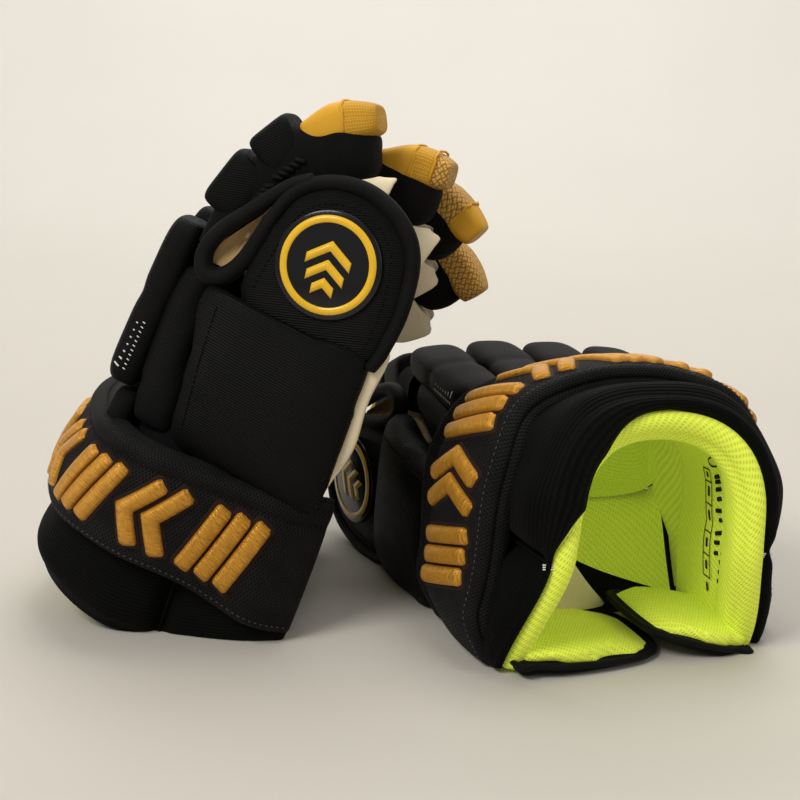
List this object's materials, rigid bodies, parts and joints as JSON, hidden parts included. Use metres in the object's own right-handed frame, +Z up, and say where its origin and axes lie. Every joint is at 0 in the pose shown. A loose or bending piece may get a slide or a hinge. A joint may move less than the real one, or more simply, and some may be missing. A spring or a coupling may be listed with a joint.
{
  "type": "pair of ice hockey gloves",
  "caption": "Pair of padded ice hockey gloves with rolled backs, flared cuffs, hinged palm flaps, jointed curled fingers and a lined opening for each hand.",
  "frame": {"origin": "on the floor, under the middle of the pair", "axes": "+X along the pair from the standing glove to the lying one, +Y towards the lying glove's fingers, +Z up"},
  "size_m": [0.2958, 0.2264, 0.2108],
  "materials": {
    "back_fabric": "ribbed woven nylon over foam, black",
    "cuff_fabric": "knitted mesh and pleated weave over foam, black",
    "finger_knit": "jersey knit, black",
    "finger_gold": "smooth and grained synthetic leather, gold",
    "palm_suede": "brushed synthetic suede, cream",
    "liner_mesh": "spacer mesh, lime",
    "thumb_disc": "glossy moulded patch, black",
    "thumb_plate": "moulded plastic, grey"
  },
  "bodies": {
    "right_hand": {"right_palm": "palm_suede", "right_back_board": "finger_knit", "right_little_side_panel": "back_fabric", "right_thumb_side_panel": "back_fabric", "right_index_back_roll": "back_fabric", "right_middle_back_roll": "back_fabric", "right_ring_back_roll": "back_fabric", "right_little_back_roll": "back_fabric"},
    "right_cuff": {"right_cuff_liner": "liner_mesh", "right_cuff_shell": "cuff_fabric", "right_cuff_roll": "cuff_fabric"},
    "right_thumb_flap": {"right_thumb_flap": "liner_mesh"},
    "right_little_flap": {"right_little_flap": "liner_mesh"},
    "right_thumb": {"right_thumb_pad": "back_fabric", "right_thumb_disc": "thumb_disc", "right_thumb_insert": "thumb_plate", "right_thumb_stall": "palm_suede"},
    "right_index_base": {"right_index_base": "back_fabric"},
    "right_index_middle": {"right_index_middle": "back_fabric"},
    "right_index_tip": {"right_index_tip": "finger_gold"},
    "right_middle_base": {"right_middle_base": "back_fabric"},
    "right_middle_middle": {"right_middle_middle": "back_fabric"},
    "right_middle_tip": {"right_middle_tip": "finger_gold"},
    "right_ring_base": {"right_ring_base": "back_fabric"},
    "right_ring_middle": {"right_ring_middle": "back_fabric"},
    "right_ring_tip": {"right_ring_tip": "finger_gold"},
    "right_little_base": {"right_little_base": "back_fabric"},
    "right_little_middle": {"right_little_middle": "back_fabric"},
    "right_little_tip": {"right_little_tip": "finger_gold"},
    "left_hand": {"left_palm": "palm_suede", "left_back_board": "finger_knit", "left_little_side_panel": "back_fabric", "left_thumb_side_panel": "back_fabric", "left_index_back_roll": "back_fabric", "left_middle_back_roll": "back_fabric", "left_ring_back_roll": "back_fabric", "left_little_back_roll": "back_fabric"},
    "left_cuff": {"left_cuff_liner": "liner_mesh", "left_cuff_shell": "cuff_fabric", "left_cuff_roll": "cuff_fabric"},
    "left_thumb_flap": {"left_thumb_flap": "liner_mesh"},
    "left_little_flap": {"left_little_flap": "liner_mesh"},
    "left_thumb": {"left_thumb_pad": "back_fabric", "left_thumb_disc": "thumb_disc", "left_thumb_insert": "thumb_plate", "left_thumb_stall": "palm_suede"},
    "left_index_base": {"left_index_base": "back_fabric"},
    "left_index_middle": {"left_index_middle": "back_fabric"},
    "left_index_tip": {"left_index_tip": "finger_gold"},
    "left_middle_base": {"left_middle_base": "back_fabric"},
    "left_middle_middle": {"left_middle_middle": "back_fabric"},
    "left_middle_tip": {"left_middle_tip": "finger_gold"},
    "left_ring_base": {"left_ring_base": "back_fabric"},
    "left_ring_middle": {"left_ring_middle": "back_fabric"},
    "left_ring_tip": {"left_ring_tip": "finger_gold"},
    "left_little_base": {"left_little_base": "back_fabric"},
    "left_little_middle": {"left_little_middle": "back_fabric"},
    "left_little_tip": {"left_little_tip": "finger_gold"}
  },
  "joints": [
    {"name": "pair_parting", "type": "slide", "parent": "right_hand", "child": "left_hand", "axis": [-1, 0, 0], "range_m": [0, 0.08]},
    {"name": "right_wrist_bend", "type": "hinge", "parent": "right_hand", "child": "right_cuff", "pos_m": [0.07328, -0.02405, 0.054], "axis": [0.955, 0.292, -0.0523], "range_deg": [-6, 8], "stiffness_Nm_per_rad": 6},
    {"name": "right_thumb_flap_hinge", "type": "hinge", "parent": "right_cuff", "child": "right_thumb_flap", "pos_m": [0.04885, -0.10681, 0.00642], "axis": [-0.2924, 0.9563, 0], "range_deg": [0, 30], "stiffness_Nm_per_rad": 0.3},
    {"name": "right_little_flap_hinge", "type": "hinge", "parent": "right_cuff", "child": "right_little_flap", "pos_m": [0.1348, -0.08053, 0.00171], "axis": [0.2924, -0.9563, 0], "range_deg": [-25, 0], "stiffness_Nm_per_rad": 0.3},
    {"name": "right_thumb_bend", "type": "hinge", "parent": "right_hand", "child": "right_thumb", "pos_m": [0.00332, 0.02287, 0.03727], "axis": [0.0704, -0.0513, 0.9962], "range_deg": [-15, 3], "stiffness_Nm_per_rad": 1},
    {"name": "right_index_knuckle_bend", "type": "hinge", "parent": "right_hand", "child": "right_index_base", "pos_m": [0.01229, 0.0433, 0.0678], "axis": [-0.9539, -0.2955, 0.0522], "range_deg": [-20, 12], "stiffness_Nm_per_rad": 0.8},
    {"name": "right_index_middle_bend", "type": "hinge", "parent": "right_index_base", "child": "right_index_middle", "pos_m": [0.00555, 0.06354, 0.0592], "axis": [-0.9539, -0.2955, 0.0522], "range_deg": [-12, 8], "stiffness_Nm_per_rad": 0.5},
    {"name": "right_index_tip_bend", "type": "hinge", "parent": "right_index_middle", "child": "right_index_tip", "pos_m": [0.00219, 0.07292, 0.05086], "axis": [-0.9539, -0.2955, 0.0522], "range_deg": [-8.4, 5.6], "stiffness_Nm_per_rad": 0.3},
    {"name": "right_middle_knuckle_bend", "type": "hinge", "parent": "right_hand", "child": "right_middle_base", "pos_m": [0.03622, 0.05384, 0.06665], "axis": [-0.9539, -0.2955, 0.0522], "range_deg": [-28, 12], "stiffness_Nm_per_rad": 0.8},
    {"name": "right_middle_middle_bend", "type": "hinge", "parent": "right_middle_base", "child": "right_middle_middle", "pos_m": [0.02901, 0.07469, 0.0529], "axis": [-0.9539, -0.2955, 0.0522], "range_deg": [-12, 20], "stiffness_Nm_per_rad": 0.5},
    {"name": "right_middle_tip_bend", "type": "hinge", "parent": "right_middle_middle", "child": "right_middle_tip", "pos_m": [0.02595, 0.08212, 0.03906], "axis": [-0.9539, -0.2955, 0.0522], "range_deg": [-8.4, 14], "stiffness_Nm_per_rad": 0.3},
    {"name": "right_ring_knuckle_bend", "type": "hinge", "parent": "right_hand", "child": "right_ring_base", "pos_m": [0.0619, 0.05866, 0.06509], "axis": [-0.9539, -0.2955, 0.0522], "range_deg": [-32, 10], "stiffness_Nm_per_rad": 0.8},
    {"name": "right_ring_middle_bend", "type": "hinge", "parent": "right_ring_base", "child": "right_ring_middle", "pos_m": [0.0541, 0.08081, 0.04807], "axis": [-0.9539, -0.2955, 0.0522], "range_deg": [-12, 18], "stiffness_Nm_per_rad": 0.5},
    {"name": "right_ring_tip_bend", "type": "hinge", "parent": "right_ring_middle", "child": "right_ring_tip", "pos_m": [0.05079, 0.08851, 0.03101], "axis": [-0.9539, -0.2955, 0.0522], "range_deg": [-8.4, 12.6], "stiffness_Nm_per_rad": 0.3},
    {"name": "right_little_knuckle_bend", "type": "hinge", "parent": "right_hand", "child": "right_little_base", "pos_m": [0.08845, 0.06062, 0.06331], "axis": [-0.9539, -0.2955, 0.0522], "range_deg": [-34, 10], "stiffness_Nm_per_rad": 0.8},
    {"name": "right_little_middle_bend", "type": "hinge", "parent": "right_little_base", "child": "right_little_middle", "pos_m": [0.08106, 0.08143, 0.0461], "axis": [-0.9539, -0.2955, 0.0522], "range_deg": [-12, 18], "stiffness_Nm_per_rad": 0.5},
    {"name": "right_little_tip_bend", "type": "hinge", "parent": "right_little_middle", "child": "right_little_tip", "pos_m": [0.07774, 0.08892, 0.02785], "axis": [-0.9539, -0.2955, 0.0522], "range_deg": [-8.4, 12.6], "stiffness_Nm_per_rad": 0.3},
    {"name": "left_wrist_bend", "type": "hinge", "parent": "left_hand", "child": "left_cuff", "pos_m": [-0.07672, -0.01185, 0.0763], "axis": [0, -1, 0], "range_deg": [-8, 2.5], "stiffness_Nm_per_rad": 6},
    {"name": "left_thumb_flap_hinge", "type": "hinge", "parent": "left_cuff", "child": "left_thumb_flap", "pos_m": [-0.05436, -0.05685, -0.00846], "axis": [-0.342, 0, -0.9397], "range_deg": [0, 30], "stiffness_Nm_per_rad": 0.3},
    {"name": "left_little_flap_hinge", "type": "hinge", "parent": "left_cuff", "child": "left_little_flap", "pos_m": [-0.05436, 0.03315, -0.00846], "axis": [0.342, 0, 0.9397], "range_deg": [-25, 0], "stiffness_Nm_per_rad": 0.3},
    {"name": "left_thumb_bend", "type": "hinge", "parent": "left_hand", "child": "left_thumb", "pos_m": [-0.0395, -0.06811, 0.12946], "axis": [0.8758, -0.2419, -0.4177], "range_deg": [-9, 13], "stiffness_Nm_per_rad": 1},
    {"name": "left_index_knuckle_bend", "type": "hinge", "parent": "left_hand", "child": "left_index_base", "pos_m": [-0.05476, -0.04824, 0.15778], "axis": [0.2184, 0.9703, -0.1041], "range_deg": [-8, 14], "stiffness_Nm_per_rad": 0.8},
    {"name": "left_index_middle_bend", "type": "hinge", "parent": "left_index_base", "child": "left_index_middle", "pos_m": [-0.04028, -0.04959, 0.1756], "axis": [0.2184, 0.9703, -0.1041], "range_deg": [-8, 16], "stiffness_Nm_per_rad": 0.5},
    {"name": "left_index_tip_bend", "type": "hinge", "parent": "left_index_middle", "child": "left_index_tip", "pos_m": [-0.02999, -0.05106, 0.18341], "axis": [0.2184, 0.9703, -0.1041], "range_deg": [-5.6, 11.2], "stiffness_Nm_per_rad": 0.3},
    {"name": "left_middle_knuckle_bend", "type": "hinge", "parent": "left_hand", "child": "left_middle_base", "pos_m": [-0.04779, -0.02301, 0.15778], "axis": [0.2184, 0.9703, -0.1041], "range_deg": [-24, 18], "stiffness_Nm_per_rad": 0.8},
    {"name": "left_middle_middle_bend", "type": "hinge", "parent": "left_middle_base", "child": "left_middle_middle", "pos_m": [-0.02623, -0.02634, 0.17193], "axis": [0.2184, 0.9703, -0.1041], "range_deg": [-13, 20], "stiffness_Nm_per_rad": 0.5},
    {"name": "left_middle_tip_bend", "type": "hinge", "parent": "left_middle_middle", "child": "left_middle_tip", "pos_m": [-0.01063, -0.02988, 0.1717], "axis": [0.2184, 0.9703, -0.1041], "range_deg": [-9.1, 14], "stiffness_Nm_per_rad": 0.3},
    {"name": "left_ring_knuckle_bend", "type": "hinge", "parent": "left_hand", "child": "left_ring_base", "pos_m": [-0.0434, 0.00222, 0.15237], "axis": [0.2184, 0.9703, -0.1041], "range_deg": [-36, 10], "stiffness_Nm_per_rad": 0.8},
    {"name": "left_ring_middle_bend", "type": "hinge", "parent": "left_ring_base", "child": "left_ring_middle", "pos_m": [-0.01678, -0.00266, 0.16278], "axis": [0.2184, 0.9703, -0.1041], "range_deg": [-12, 16], "stiffness_Nm_per_rad": 0.5},
    {"name": "left_ring_tip_bend", "type": "hinge", "parent": "left_ring_middle", "child": "left_ring_tip", "pos_m": [0.00171, -0.00692, 0.16185], "axis": [0.2184, 0.9703, -0.1041], "range_deg": [-8.4, 11.2], "stiffness_Nm_per_rad": 0.3},
    {"name": "left_little_knuckle_bend", "type": "hinge", "parent": "left_hand", "child": "left_little_base", "pos_m": [-0.04031, 0.02744, 0.14424], "axis": [0.2184, 0.9703, -0.1041], "range_deg": [-50, 8], "stiffness_Nm_per_rad": 0.8},
    {"name": "left_little_middle_bend", "type": "hinge", "parent": "left_little_base", "child": "left_little_middle", "pos_m": [-0.01298, 0.02136, 0.14481], "axis": [0.2184, 0.9703, -0.1041], "range_deg": [-12, 14], "stiffness_Nm_per_rad": 0.5},
    {"name": "left_little_tip_bend", "type": "hinge", "parent": "left_little_middle", "child": "left_little_tip", "pos_m": [0.00509, 0.01653, 0.13773], "axis": [0.2184, 0.9703, -0.1041], "range_deg": [-8.4, 9.8], "stiffness_Nm_per_rad": 0.3}
  ],
  "couplings": [
    {"joint": "right_index_tip_bend", "follows": "right_index_middle_bend", "ratio": 0.7},
    {"joint": "right_middle_tip_bend", "follows": "right_middle_middle_bend", "ratio": 0.7},
    {"joint": "right_ring_tip_bend", "follows": "right_ring_middle_bend", "ratio": 0.7},
    {"joint": "right_little_tip_bend", "follows": "right_little_middle_bend", "ratio": 0.7},
    {"joint": "left_index_tip_bend", "follows": "left_index_middle_bend", "ratio": 0.7},
    {"joint": "left_middle_tip_bend", "follows": "left_middle_middle_bend", "ratio": 0.7},
    {"joint": "left_ring_tip_bend", "follows": "left_ring_middle_bend", "ratio": 0.7},
    {"joint": "left_little_tip_bend", "follows": "left_little_middle_bend", "ratio": 0.7}
  ]
}
